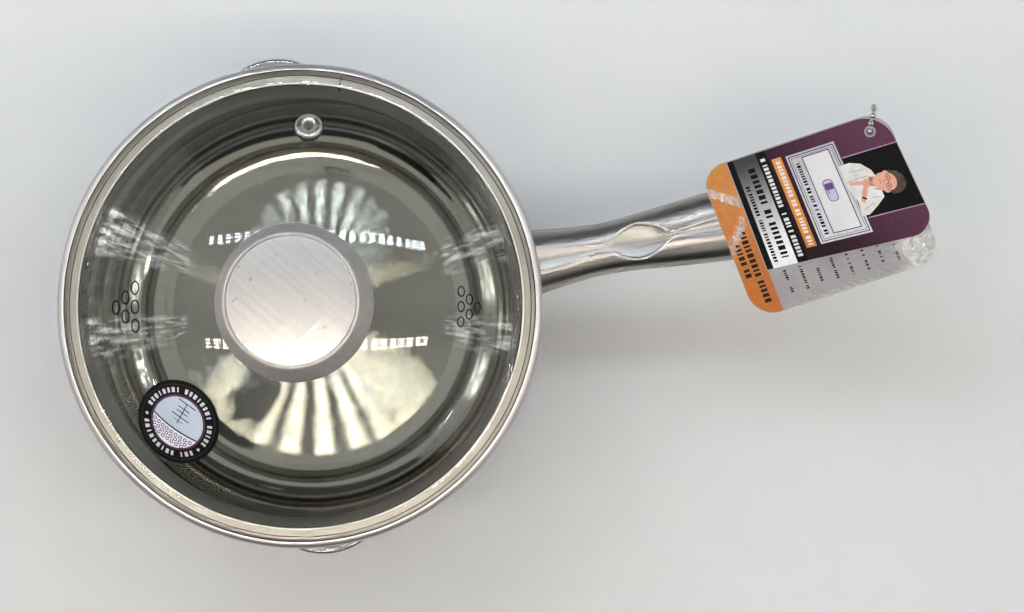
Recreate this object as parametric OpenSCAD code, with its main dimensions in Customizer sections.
// Straining saucepan with a domed glass lid: two pour spouts, a steel-banded lid that lifts and
// turns, a hollow two-shell handle and a folded card tag on a bead chain. Millimetres, +Z up.

/* [Pan] */

// Inner radius of the side wall
pan_r = 90; // [84:0.5:96]
// Inside depth from the floor of the pan to the rim
pan_depth = 93; // [88:1:110]
// Sheet thickness of the pan
pan_t = 0.8; // [0.7:0.1:1.2]
// Radius of the corner between floor and wall
corner_r = 28; // [18:1:32]
// Radius of the rolled pouring rim
rim_roll = 2.2; // [1.8:0.1:2.4]
// Thickness of the aluminium core under the floor
core_t = 4.2; // [3:0.2:6]
// Thickness of the steel cap over the core
cap_t = 0.6; // [0.5:0.1:1]
// Radius of the core
core_r = 66; // [60:1:68]
// Angle of the first pour spout from the handle
spout_angle = 86.3; // [80:1:95]
// Radius of the spout's mouth
spout_r = 24.5; // [22:0.5:26]
// Reach of the spout beyond the inside of the wall
spout_reach = 5.5; // [5:0.5:6]
// Height of the spout's cone
spout_h = 30; // [24:1:36]

/* [Handle] */

// Distance from the pan's axis to the handle's far end
handle_end = 235; // [225:1:245]
// Half width of the handle where it meets the pan
handle_w_root = 12.6; // [11:0.1:13]
// Half width of the handle at its waist
handle_w_waist = 9.9; // [9:0.1:11]
// Half width of the handle at the grip
handle_w_grip = 15.2; // [14:0.1:16]
// Thickness of the handle's shells
handle_t = 1.1; // [0.9:0.1:1.4]
// Upward slope of the grip in degrees
handle_pitch = 7.5; // [4:0.5:9]
// Distance from the pan's axis to the thumb dimple
dimple_x = 135.8; // [133:0.1:139]
// Half length of the thumb dimple
dimple_l = 12.2; // [11:0.1:13]
// Half width of the thumb dimple
dimple_w = 7.3; // [6.5:0.1:7.6]
// Depth of the thumb dimple
dimple_d = 2.1; // [1.5:0.1:2.4]
// Distance from the pan's axis to the hanging hole
hole_x = 223; // [220:1:224]

/* [Lid] */

// Outer radius of the lid's steel band
band_r = 95; // [94.5:0.1:95.5]
// Thickness of the band's sheet
band_t = 0.5; // [0.4:0.1:0.6]
// Radius of the band's skirt at its top
skirt_r = 87.6; // [87:0.1:88]
// Radius of the band's skirt at its lower edge
skirt_r_low = 84; // [82:0.5:85]
// Depth of the band's skirt
skirt_h = 18; // [16:0.5:22]
// Thickness of the glass
glass_t = 3.6; // [3.4:0.1:3.8]
// Radius of the dome's middle surface
dome_r = 150; // [146:1:156]
// Height of the dome above its flat edge
dome_h = 27; // [25:1:28]
// Angle of the coarse straining holes from the handle
coarse_angle = 160.9; // [158:0.2:165]
// Angle of the fine straining holes from the handle
fine_angle = -19; // [-22:0.1:-15]
// Angle of the steam vent from the handle
vent_angle = 75.7; // [70:0.2:84]
// Distance of the steam vent from the lid's axis
vent_r = 69; // [60:1:70]

/* [Knob] */

// Largest radius of the knob
knob_r = 30.4; // [28:0.1:32]
// Radius of the knob's top disc
knob_top_r = 25.2; // [23:0.1:26]
// Height of the knob above the glass
knob_h = 27; // [24:0.5:30]
// Thickness of the knob's sheet
knob_t = 0.9; // [0.7:0.1:1.2]

/* [Label and tag] */

// Radius of the round label on the glass
label_r = 17; // [14:0.5:17.5]
// Angle of the label from the handle
label_angle = 213.6; // [205:0.1:225]
// Distance of the label from the lid's axis
label_dist = 65; // [60:0.5:66]
// Length of the folded tag
tag_l = 76.4; // [70:0.2:78]
// Height of the tag's back leaf
tag_w = 62.6; // [58:0.2:64]
// Length of the tag's front leaf
front_l = 65.4; // [62:0.2:68]
// Height of the tag's front leaf
front_w = 48; // [44:0.5:52]
// Thickness of each leaf
leaf_t = 0.4; // [0.3:0.05:0.5]
// Turn of the tag from the handle's line
tag_turn = 7; // [2:0.1:12]
// Diameter of a chain bead
bead_d = 2.4; // [2:0.1:2.4]

/* [Hidden] */

$fn = 96;
eps = 0.01;

steel = [0.78, 0.77, 0.74];
satin = [0.62, 0.60, 0.56];
alu = [0.70, 0.71, 0.72];
silicone = [0.16, 0.16, 0.17];
glass = [0.72, 0.80, 0.77, 0.35];

// Heights of the pan
cap_h = cap_t + core_t;
floor_z = cap_h + pan_t;
rim_z = floor_z + pan_depth;
roll_z = rim_z - rim_roll - pan_t;
corner_x = pan_r - corner_r;
roll_x = pan_r + pan_t + rim_roll;

// Spout cone
spout_d = pan_r + spout_reach - spout_r;
spout_z = rim_z - spout_h;
spout_low_r = pan_r - spout_d - 1.3;
lip_roll = 0.5;

// Lid heights
seat_gap = 0.3;
band_z = rim_z + seat_gap;
bead_out = 2.3;
bead_in = bead_out - band_t;
bead_x = band_r - bead_out;
edge_z = band_z + bead_out;
dome_z = edge_z + dome_h - dome_r;
edge_fillet = 8;
fillet_x = sqrt(pow(dome_r + edge_fillet, 2) - pow(edge_z + edge_fillet - dome_z, 2));
dome_tan_x = fillet_x * dome_r / (dome_r + edge_fillet);
glass_top = dome_z + dome_r + glass_t / 2;
glass_under = glass_top - glass_t;
glass_hole_r = 4;
edge_half = 1.7;

// Straining holes
coarse_d = 5;
coarse_step = 6.3;
fine_d = 2.5;
fine_step = 3.05;

// Vent, as an angle on the dome from its top
vent_tilt = asin(vent_r / (dome_r + glass_t / 2));
vent_bore = 1.85;
vent_tube = 2.6;
vent_flange = 4.75;
gasket_t = 0.5;

// Knob heights above the glass
plate_z = glass_top + 1.3;
knob_low = glass_top + 5.5;
knob_high = glass_top + knob_h;
crown_r = 300;
screw_r = 2.45;
insert_bore = 2.5;
insert_r = 6;

// Label, as an angle on the dome from its top
label_tilt = asin(label_dist / (dome_r + glass_t / 2));
label_t = 0.15;

// Handle stations
root_x = 93.2;
knee_x = 150;
root_z = 80;
root_slope = 0.03;
grip_slope = tan(handle_pitch);
end_x0 = handle_end - 17;
knee_z = root_z + (root_slope + grip_slope) / 2 * (knee_x - root_x);

// Places along the handle: [distance, half width]
W_STATIONS = [[root_x, handle_w_root], [106, 11], [121, handle_w_waist], [136, 10.8],
  [150, 12.2], [163, 13.4], [182, 14.7], [202, handle_w_grip], [handle_end + 1, 14.6]];
// Places along the handle: [distance, height of the upper shell]
U_STATIONS = [[root_x, 9], [121, 6.6], [150, 7], [200, 7], [214, 5.4], [hole_x, 4.2], [handle_end + 1, 3.6]];
// Places along the handle: [distance, depth of the lower shell]
L_STATIONS = [[root_x, 8.5], [121, 5.6], [150, 6], [205, 5.6], [handle_end + 1, 4]];
// Places along the handle: [distance, half width between the two ridges]
V_STATIONS = [[root_x, 4.6], [106, 3.4], [dimple_x - dimple_l, 0.8], [dimple_x - 8.6, 4.8],
  [dimple_x, dimple_w], [dimple_x + 8.6, 4.8], [dimple_x + dimple_l, 0.8], [160, 2.2], [174, 3.6],
  [190, 5.4], [205, 6.6], [handle_end + 1, 6]];
// Places along the handle: [distance, depth between the ridges]
D_STATIONS = [[root_x, 1.1], [106, 0.7], [dimple_x - dimple_l, 0.15], [dimple_x - 8, 1.3],
  [dimple_x, dimple_d], [dimple_x + 8, 1.3], [dimple_x + dimple_l, 0.15], [163, 0.6], [200, 0.6],
  [214, 0.2], [handle_end + 1, 0.1]];

handle_power = 2.3;
long_steps = 58;
flank_steps = 8;
valley_steps = 10;

// Tag plane and chain, in the grip's frame: [outward, sideways, along the normal]
tag_c = 9;
tag_mid = [-16.9, -4.1];
tag_hole = [30.3, 24.7];
tag_hole_r = 1.8;
tag_skew = 0.06;
front_left = tag_l / 2 - front_l;
front_low = tag_w / 2 - front_w;
front_corners = [[front_left + 0.3, tag_w / 2 - 0.2], [tag_l / 2 - 0.8, tag_w / 2 - 0.2],
  [tag_l / 2 + 5.3, front_low - 4], [front_left + 2.4, front_low + 2.3]];
front_rounds = [0.2, 13, 8, 0.2];
chain_pitch = 3.15;
link_r = 0.45;

// ---- General helpers ----

function slopes(s) = [for (i = [0 : len(s) - 1])
  (i == 0) ? (s[1][1] - s[0][1]) / (s[1][0] - s[0][0]) :
  (i == len(s) - 1) ? (s[i][1] - s[i - 1][1]) / (s[i][0] - s[i - 1][0]) :
  (s[i + 1][1] - s[i - 1][1]) / (s[i + 1][0] - s[i - 1][0])];

// Smooth curve through stations: cubic between neighbours
function find(x, s, i) = (i >= len(s) - 2 || x < s[i + 1][0]) ? i : find(x, s, i + 1);
function cubic(a, b, ma, mb, h, t) =
  a * (1 + 2 * t) * pow(1 - t, 2) + ma * h * t * pow(1 - t, 2)
  + b * t * t * (3 - 2 * t) - mb * h * t * t * (1 - t);
function curve(x, s) =
  let (i = find(x, s, 0), m = slopes(s), h = s[i + 1][0] - s[i][0])
  cubic(s[i][1], s[i + 1][1], m[i], m[i + 1], h, (x - s[i][0]) / h);

// Part of a ring between two angles, as a flat shape
module ring_part(r_out, r_in, a0, a1) {
  mid = (a0 + a1) / 2;
  half = (a1 - a0) / 2;
  far = 3 * r_out;
  intersection() {
    difference() {
      circle(r = r_out);
      circle(r = r_in);
    }
    rotate(mid)
      polygon(concat([[0, 0]], [for (k = [-2 : 2]) far * [cos(half * k / 2), sin(half * k / 2)]]));
  }
}

module round_plate(l, w, r) {
  square([l - 2 * r, w], center = true);
  square([l, w - 2 * r], center = true);
  for (sx = [-1, 1])
    for (sy = [-1, 1])
      translate([sx * (l / 2 - r), sy * (w / 2 - r)])
        circle(r = r);
}

// Places children on the dome, z along its outward normal
module on_dome(angle, tilt, r) {
  translate([0, 0, dome_z])
    rotate([0, 0, angle])
      rotate([0, tilt, 0])
        translate([0, 0, r])
          children();
}

// ---- Pan ----

module pan_profile() {
  translate([0, cap_h])
    square([corner_x, pan_t]);
  translate([corner_x, floor_z + corner_r])
    ring_part(corner_r + pan_t, corner_r, -90, 0);
  translate([pan_r, floor_z + corner_r])
    square([pan_t, roll_z - floor_z - corner_r]);
  translate([roll_x, roll_z])
    ring_part(rim_roll + pan_t, rim_roll, 60, 180);
}

module spout_place(k) {
  rotate([0, 0, spout_angle + 180 * k])
    translate([spout_d, 0, 0])
      children();
}

module spout_cone(extra) {
  translate([0, 0, spout_z])
    cylinder(r1 = spout_low_r + extra, r2 = spout_r + extra, h = spout_h, $fn = 96);
}

module spout_lip() {
  translate([0, 0, rim_z - lip_roll - pan_t])
    rotate_extrude($fn = 96)
      translate([spout_r + pan_t + lip_roll - 0.2, 0])
        ring_part(lip_roll + pan_t, lip_roll, 30, 180);
}

module pan_shell() {
  color(steel) {
    difference() {
      rotate_extrude()
        pan_profile();
      for (k = [0, 1])
        spout_place(k)
          spout_cone(0);
    }
    for (k = [0, 1])
      spout_place(k)
        difference() {
          union() {
            spout_cone(pan_t);
            spout_lip();
          }
          spout_cone(0);
          translate([0, 0, rim_z - eps])
            cylinder(r = spout_r, h = 2);
          translate([-spout_d, 0, 0])
            cylinder(r = pan_r + pan_t / 2, h = rim_z + 1);
        }
  }
}

module base_core() {
  color(alu)
    translate([0, 0, cap_t])
      cylinder(r = core_r, h = core_t);
}

module base_cap() {
  color(steel)
    rotate_extrude() {
      square([core_r, cap_t]);
      translate([core_r, cap_t * 2])
        ring_part(cap_t * 2, cap_t, -90, 0);
      translate([core_r + cap_t, cap_t * 2])
        square([cap_t, cap_h - cap_t * 1.4]);
    }
}

// ---- Handle ----

function end_factor(x, x1) = x <= end_x0 ? 1 : sqrt(max(0.0009, 1 - pow((x - end_x0) / (x1 - end_x0), 2)));
function axis_z(x) = x < knee_x
  ? root_z + root_slope * (x - root_x)
    + (grip_slope - root_slope) * pow(x - root_x, 2) / (2 * (knee_x - root_x))
  : knee_z + grip_slope * (x - knee_x);

// Point of the upper surface: v from -1 to 1 runs across the valley, beyond it down a flank
function upper_point(x, side, f, inset, x1) =
  let (e = end_factor(x, x1),
    w = (curve(x, W_STATIONS) - inset) * e,
    h = (curve(x, U_STATIONS) - inset) * sqrt(e),
    v = min(curve(x, V_STATIONS), 0.8 * w / e) * e,
    d = curve(x, D_STATIONS) * e,
    a_ridge = acos(pow(v / w, handle_power / 2)),
    a = a_ridge * (1 - f),
    y = side == 0 ? v * f : side * w * pow(cos(a), 2 / handle_power),
    top = side == 0 ? h * pow(1 - pow(abs(y) / w, handle_power), 1 / handle_power)
      : h * pow(sin(a), 2 / handle_power),
    z = side == 0 ? top - d * (1 - f * f) : top)
  [x, y, axis_z(x) + z];

function lower_point(x, side, f, inset, x1) =
  let (e = end_factor(x, x1),
    w = (curve(x, W_STATIONS) + 0.35 - inset) * e,
    h = (curve(x, L_STATIONS) - inset) * sqrt(e),
    a = 90 * (1 - f),
    y = side * w * pow(cos(a), 2 / handle_power),
    z = -h * pow(sin(a), 2 / handle_power))
  [x, y, axis_z(x) + z];

function upper_row(x, inset, x1) = concat(
  [for (k = [0 : flank_steps - 1]) upper_point(x, -1, 1 - k / flank_steps, inset, x1)],
  [for (k = [0 : valley_steps]) upper_point(x, 0, -1 + 2 * k / valley_steps, inset, x1)],
  [for (k = [1 : flank_steps]) upper_point(x, 1, k / flank_steps, inset, x1)]);

function lower_row(x, inset, x1) = concat(
  [for (k = [0 : flank_steps]) lower_point(x, 1, 1 - k / flank_steps, inset, x1)],
  [for (k = [1 : flank_steps]) lower_point(x, -1, k / flank_steps, inset, x1)]);

// Closed sheet from two rows of points at every station, outer then inner
function sheet_faces(n, m, flip) =
  let (ring = 2 * m)
  concat(
    [for (i = [0 : n - 1]) for (j = [0 : ring - 1]) for (t = [0, 1])
      let (j2 = (j + 1) % ring,
        a = i * ring + j, b = i * ring + j2, c = (i + 1) * ring + j2, d = (i + 1) * ring + j,
        face = t == 0 ? [a, b, c] : [a, c, d])
      flip ? face : [face[2], face[1], face[0]]],
    [for (e = [0, 1]) for (j = [0 : m - 2]) for (t = [0, 1])
      let (o = e * n * ring,
        a = o + j, b = o + j + 1, c = o + ring - 2 - j, d = o + ring - 1 - j,
        face = t == 0 ? [a, b, c] : [a, c, d],
        out = e == 1 ? face : [face[2], face[1], face[0]])
      flip ? out : [out[2], out[1], out[0]]]);

function reversed(v) = [for (i = [len(v) - 1 : -1 : 0]) v[i]];

function long_x(i, x1) = root_x + (x1 - root_x) * i / long_steps;

module handle_sheet(upper) {
  outer_end = handle_end - 0.05;
  inner_end = handle_end - 3;
  points = [for (i = [0 : long_steps])
    let (xo = long_x(i, outer_end), xi = long_x(i, inner_end))
    each upper
      ? concat(upper_row(xo, 0, handle_end), reversed(upper_row(xi, handle_t, inner_end)))
      : concat(lower_row(xo, 0, handle_end), reversed(lower_row(xi, handle_t, inner_end)))];
  m = upper ? 2 * flank_steps + valley_steps + 1 : 2 * flank_steps + 1;
  polyhedron(points, sheet_faces(long_steps, m, true));
}

// Frame of the grip at the hanging hole, z along the grip's normal
module grip_frame() {
  translate([hole_x, 0, axis_z(hole_x)])
    rotate([0, -handle_pitch, 0])
      children();
}

module hang_bore(r) {
  grip_frame()
    translate([0, 0, -12])
      cylinder(r = r, h = 24, $fn = 48);
}

module handle_upper() {
  color(satin)
    difference() {
      handle_sheet(true);
      hang_bore(4.3);
    }
}

module handle_lower() {
  color(satin)
    translate([0, 0, -0.05])
      difference() {
        handle_sheet(false);
        hang_bore(4.3);
      }
}

module hang_eyelet() {
  low = -6;
  high = 5.2;
  color(steel)
    grip_frame()
      rotate_extrude($fn = 48) {
        translate([3.5, low + 0.6])
          square([0.75, high - low - 1.2]);
        translate([5, low + 0.6])
          ring_part(1.5, 0.75, 180, 270);
        translate([5, high - 0.6])
          ring_part(1.5, 0.75, 90, 180);
      }
}

module handle_bracket() {
  plate_r = pan_r + pan_t + 0.05;
  plate_t = 1.6;
  color(steel) {
    intersection() {
      difference() {
        cylinder(r = plate_r + plate_t, h = rim_z);
        translate([0, 0, -1])
          cylinder(r = plate_r, h = rim_z + 2);
      }
      translate([plate_r, 0, root_z + 0.3])
        rotate([0, 90, 0])
          linear_extrude(20, center = true)
            round_plate(21, 29, 4);
    }
    translate([plate_r + 0.6, 0, root_z])
      rotate([0, -2.5, 0])
        translate([15, 0, 0])
          cube([30, 14, 5], center = true);
  }
}

module handle_weld() {
  x0 = 92.2;
  n = 48;
  ring = [for (i = [0 : n - 1])
    let (a = 360 * i / n, s = sin(a), c = cos(a),
      h = s > 0 ? 9 : 8.5)
    [h * sign(s) * pow(abs(s), 2 / handle_power), handle_w_root * sign(c) * pow(abs(c), 2 / handle_power)]];
  color(steel)
    translate([x0, 0, root_z])
      rotate([0, 90, 0])
        difference() {
          linear_extrude(1.5)
            polygon([for (p = ring) [-p[0], p[1]] * 1.09]);
          translate([0, 0, -1])
            linear_extrude(4)
              polygon([for (p = ring) [-p[0], p[1]] * 0.94]);
        }
}

// ---- Lid ----

module glass_profile() {
  half = glass_t / 2;
  intersection() {
    translate([0, dome_z])
      difference() {
        circle(r = dome_r + half, $fn = 360);
        circle(r = dome_r - half, $fn = 360);
      }
    translate([0, edge_z - 10])
      square([dome_tan_x, 80]);
  }
  intersection() {
    translate([fillet_x, edge_z + edge_fillet])
      difference() {
        circle(r = edge_fillet + half);
        circle(r = edge_fillet - half);
      }
    translate([dome_tan_x, edge_z - 10])
      square([fillet_x - dome_tan_x, 14]);
  }
  translate([fillet_x, edge_z - half])
    square([bead_x - fillet_x, 2 * half]);
  translate([bead_x, edge_z])
    circle(r = edge_half);
}

module lid_glass() {
  color(glass)
    difference() {
      rotate_extrude($fn = 180)
        intersection() {
          glass_profile();
          translate([0, 50])
            square([100, 120]);
        }
      translate([0, 0, glass_under - 5])
        cylinder(r = glass_hole_r, h = 12, $fn = 48);
      on_dome(vent_angle, vent_tilt, dome_r - 6)
        cylinder(r = 3.1, h = 12, $fn = 48);
    }
}

module band_profile() {
  hem_z = band_z - skirt_h + 1;
  translate([bead_x, edge_z])
    ring_part(bead_out, bead_in, -90, 100);
  polygon([[bead_x, band_z], [bead_x, band_z + band_t], [skirt_r - band_t, band_z + band_t],
    [skirt_r_low - band_t, hem_z], [skirt_r_low - band_t - 0.3, hem_z - 0.3],
    [skirt_r_low - band_t, hem_z - 0.8], [skirt_r_low, hem_z - 0.8], [skirt_r_low + 0.3, hem_z - 0.3],
    [skirt_r_low, hem_z], [skirt_r, band_z]]);
}

module row_of_holes(angle, count, step, d, depth) {
  for (i = [0 : count - 1])
    rotate([0, 0, angle + (i - (count - 1) / 2) * step])
      translate([skirt_r - 8, 0, band_z - depth])
        rotate([0, 90, 0])
          cylinder(r = d / 2, h = 14, $fn = 32);
}

module lid_band() {
  color(steel)
    difference() {
      rotate_extrude($fn = 180)
        band_profile();
      row_of_holes(coarse_angle, 6, coarse_step, coarse_d, 4.4);
      row_of_holes(coarse_angle, 5, coarse_step, coarse_d, 11.4);
      row_of_holes(fine_angle, 11, fine_step, fine_d, 3.4);
      row_of_holes(fine_angle, 12, fine_step, fine_d, 7.4);
      row_of_holes(fine_angle, 11, fine_step, fine_d, 11.4);
    }
}

module vent_eyelet() {
  top = dome_r + glass_t / 2 + gasket_t;
  low = dome_r - glass_t / 2;
  color(steel)
    on_dome(vent_angle, vent_tilt, 0)
      rotate_extrude($fn = 48) {
        translate([vent_bore, low - 0.3])
          square([vent_tube - vent_bore, top - low + 0.6]);
        translate([vent_tube + 0.7, top + 0.1])
          ring_part(1.45, 0.7, 90, 180);
        translate([vent_tube + 0.7, top + 0.8])
          square([vent_flange - vent_tube - 1.4, 0.75]);
        translate([vent_flange - 0.7, top + 0.1])
          ring_part(1.45, 0.7, 0, 90);
        translate([vent_flange, top])
          square([0.75, 0.12]);
        translate([vent_tube + 0.5, low - 0.3])
          ring_part(1.25, 0.5, 180, 360);
      }
}

module vent_gasket() {
  low = dome_r + glass_t / 2;
  color(silicone)
    on_dome(vent_angle, vent_tilt, 0)
      rotate_extrude($fn = 48)
        translate([vent_tube + 0.1, low - 0.12])
          square([vent_flange + 1.05 - vent_tube, gasket_t + 0.1]);
}

module seal_inner() {
  color(silicone)
    rotate_extrude($fn = 48) {
      translate([2.8, glass_under - 1.3])
        square([6.2, 1.25]);
      translate([2.8, glass_under - 0.1])
        square([1.15, glass_t / 2]);
    }
}

module seal_outer() {
  color(silicone)
    rotate_extrude($fn = 48) {
      translate([2.8, glass_top - 0.25])
        square([7.2, 1.5]);
      translate([2.8, glass_top - glass_t / 2 + 0.1])
        square([1.15, glass_t / 2]);
    }
}

// ---- Knob ----

module knob_plate() {
  color(satin)
    rotate_extrude($fn = 96)
      polygon([[insert_r + 0.05, plate_z], [12, plate_z], [13, plate_z + 0.6], [16, plate_z + 3.2],
        [knob_r - 1.6, knob_low + 0.4], [knob_r - 1.6, knob_low + 1.2], [15.4, plate_z + 4],
        [12.3, plate_z + 1.2], [insert_r + 0.05, plate_z + 1.2]]);
}

module knob_skirt() {
  color(satin)
    rotate_extrude($fn = 96) {
      polygon([[knob_r - knob_t, knob_low + 0.5], [knob_r, knob_low + 0.5],
        [knob_top_r + 0.9, knob_high - 1.6], [knob_top_r + 0.9 - knob_t, knob_high - 1.6]]);
      translate([knob_r - 0.6, knob_low + 0.5])
        circle(r = 0.6);
      translate([knob_top_r - 0.2, knob_high - 1.6])
        ring_part(1.1, 0.25, 0, 100);
    }
}

module knob_top() {
  sink = 0.15;
  edge_r = knob_top_r - 0.75;
  color(satin) {
    intersection() {
      translate([0, 0, knob_high - crown_r])
        difference() {
          sphere(r = crown_r, $fn = 180);
          sphere(r = crown_r - knob_t, $fn = 180);
        }
      translate([0, 0, knob_high - 5])
        cylinder(r = edge_r, h = 10);
    }
    translate([0, 0, knob_high - 4.2])
      difference() {
        cylinder(r = edge_r, h = 3);
        translate([0, 0, -1])
          cylinder(r = edge_r - knob_t, h = 5);
      }
  }
}

module knob_insert() {
  depth = 15;
  color(alu)
    difference() {
      union() {
        translate([0, 0, plate_z - 0.02])
          cylinder(r = insert_r, h = knob_h - 3.4, $fn = 48);
        translate([0, 0, knob_high - 3.3])
          cylinder(r = 14, h = 1.6, $fn = 64);
      }
      translate([0, 0, plate_z - 1])
        cylinder(r = insert_bore, h = depth + 1, $fn = 48);
    }
}

module knob_film() {
  film_t = 0.12;
  color([0.85, 0.86, 0.88])
    intersection() {
      translate([0, 0, knob_high - crown_r])
        difference() {
          sphere(r = crown_r + 0.02 + film_t, $fn = 180);
          sphere(r = crown_r + 0.02, $fn = 180);
        }
      translate([0, 0, knob_high - 5])
        cylinder(r = knob_top_r - 1.1, h = 10);
    }
}

module knob_screw() {
  head_z = glass_under - 2.5;
  color(alu) {
    translate([0, 0, head_z - 0.05])
      cylinder(r = screw_r, h = plate_z + 13 - head_z, $fn = 48);
    difference() {
      translate([0, 0, head_z - 3])
        cylinder(r1 = 4.1, r2 = 4.7, h = 3, $fn = 48);
      for (a = [0, 90])
        rotate([0, 0, a])
          translate([0, 0, head_z - 3])
            cube([5.4, 1.1, 2.6], center = true);
    }
  }
}

module screw_washer() {
  color(steel)
    translate([0, 0, glass_under - 2.45])
      difference() {
        cylinder(r = 8.2, h = 1, $fn = 64);
        translate([0, 0, -1])
          cylinder(r = screw_r + 0.15, h = 3, $fn = 48);
      }
}

module lid_label() {
  color([0.05, 0.05, 0.06])
    intersection() {
      translate([0, 0, dome_z])
        difference() {
          sphere(r = dome_r + glass_t / 2 + 0.02 + label_t, $fn = 360);
          sphere(r = dome_r + glass_t / 2 + 0.02, $fn = 360);
        }
      on_dome(label_angle, label_tilt, dome_r - 4)
        cylinder(r = label_r, h = 12);
    }
}

// ---- Tag and chain, in the grip's frame ----

module tag_frame() {
  grip_frame()
    translate([tag_mid[0], tag_mid[1], tag_c])
      rotate([0, 0, tag_turn])
        children();
}

// Back leaf: a rounded card cut slightly out of square
module tag_back() {
  color([0.80, 0.45, 0.16])
    tag_frame()
      linear_extrude(leaf_t)
        difference() {
          multmatrix([[1, -tag_skew, 0, tag_skew * tag_w / 2], [0, 1, 0, 0], [0, 0, 1, 0]])
            round_plate(tag_l, tag_w, 10);
          translate(tag_hole)
            circle(r = tag_hole_r, $fn = 48);
        }
}

// Front leaf: its lower right corner reaches furthest, as in the view from above
module tag_front() {
  color([0.20, 0.11, 0.20])
    tag_frame()
      translate([0, 0, leaf_t + 0.45])
        linear_extrude(leaf_t)
          difference() {
            hull()
              for (i = [0 : 3])
                translate(corner_centre(i))
                  circle(r = front_rounds[i], $fn = 96);
            translate(tag_hole)
              circle(r = tag_hole_r, $fn = 48);
          }
}

// Centre of the round at corner i of the front leaf, set in from both edges
function unit(v) = v / norm(v);
function corner_centre(i) =
  let (p = front_corners[i],
    a = unit(front_corners[(i + 3) % 4] - p),
    b = unit(front_corners[(i + 1) % 4] - p),
    half = acos(a * b) / 2)
  p + unit(a + b) * front_rounds[i] / sin(half);

// Steel eyelet that closes the hole through both leaves
module tag_ring() {
  high = 2 * leaf_t + 0.45;
  color([0.80, 0.80, 0.82])
    tag_frame()
      translate([tag_hole[0], tag_hole[1], -0.2])
        rotate_extrude($fn = 48) {
          translate([1.45, 0])
            square([0.3, high + 0.4]);
          translate([1.45, 0])
            square([0.8, 0.15]);
          translate([1.45, high + 0.25])
            square([0.8, 0.15]);
        }
}

function turned(p) = [p[0] * cos(tag_turn) - p[1] * sin(tag_turn), p[0] * sin(tag_turn) + p[1] * cos(tag_turn)];
hole_at = tag_mid + turned(tag_hole);
edge_at = tag_mid + turned([tag_hole[0] + 4.4, tag_w / 2 + 2.2]);
over = tag_c + 2 * leaf_t + 0.45 + bead_d / 2 + 0.3;
under = tag_c - bead_d / 2 - 0.25;
low_c = -8.6;
chain_path = [
  [0, 0, low_c + 1.5], [0, 0, under - 1.2], [0.6, 2, under - 0.1], [hole_at[0] * 0.6, hole_at[1] * 0.6, under],
  [hole_at[0], hole_at[1] - 1.6, under - 0.05], [hole_at[0], hole_at[1], under - 0.05],
  [hole_at[0], hole_at[1], over], [hole_at[0] + 0.3, hole_at[1] + 1.6, over],
  [edge_at[0] - 0.4, edge_at[1] - 2.2, over], [edge_at[0], edge_at[1], over - 1.4],
  [edge_at[0] + 0.2, edge_at[1] + 0.3, 3], [edge_at[0], edge_at[1], -4.6],
  [edge_at[0] - 1.2, edge_at[1] - 3.6, low_c + 0.6], [hole_at[0] * 0.55, hole_at[1] * 0.62, low_c - 0.4],
  [1, 2.6, low_c], [0, 0, low_c + 1.5]];

function seg(i) = norm(chain_path[i + 1] - chain_path[i]);
function upto(i) = i == 0 ? 0 : upto(i - 1) + seg(i - 1);
chain_length = upto(len(chain_path) - 1);
bead_count = round(chain_length / chain_pitch);
function along(s, i) = (i >= len(chain_path) - 2 || s < upto(i + 1))
  ? chain_path[i] + (chain_path[i + 1] - chain_path[i]) * (s - upto(i)) / seg(i)
  : along(s, i + 1);
function bead_at(k) = along(chain_length * (k % bead_count) / bead_count, 0);

module rod(p, q, r) {
  v = q - p;
  translate(p)
    rotate([0, acos(v[2] / norm(v)), atan2(v[1], v[0])])
      cylinder(r = r, h = norm(v), $fn = 16);
}

module bead_chain() {
  color([0.75, 0.74, 0.72])
    grip_frame()
      for (k = [0 : bead_count - 1]) {
        translate(bead_at(k))
          sphere(r = bead_d / 2, $fn = 24);
        rod(bead_at(k), bead_at(k + 1), link_r);
      }
}

module chain_clasp() {
  a = chain_path[13] + [1.4, 3.2, 0.35];
  b = chain_path[13] - [1.4, 3.2, -0.1];
  color([0.75, 0.74, 0.72])
    grip_frame()
      difference() {
        rod(a, b, 1.75);
        rod(a + (a - b), b + (b - a), 1.35);
      }
}

pan_shell();
base_core();
base_cap();
handle_bracket();
handle_weld();
handle_upper();
handle_lower();
hang_eyelet();
knob_screw();
screw_washer();
lid_glass();
lid_band();
vent_eyelet();
vent_gasket();
seal_inner();
seal_outer();
knob_plate();
knob_skirt();
knob_top();
knob_insert();
knob_film();
lid_label();
tag_back();
tag_front();
tag_ring();
bead_chain();
chain_clasp();
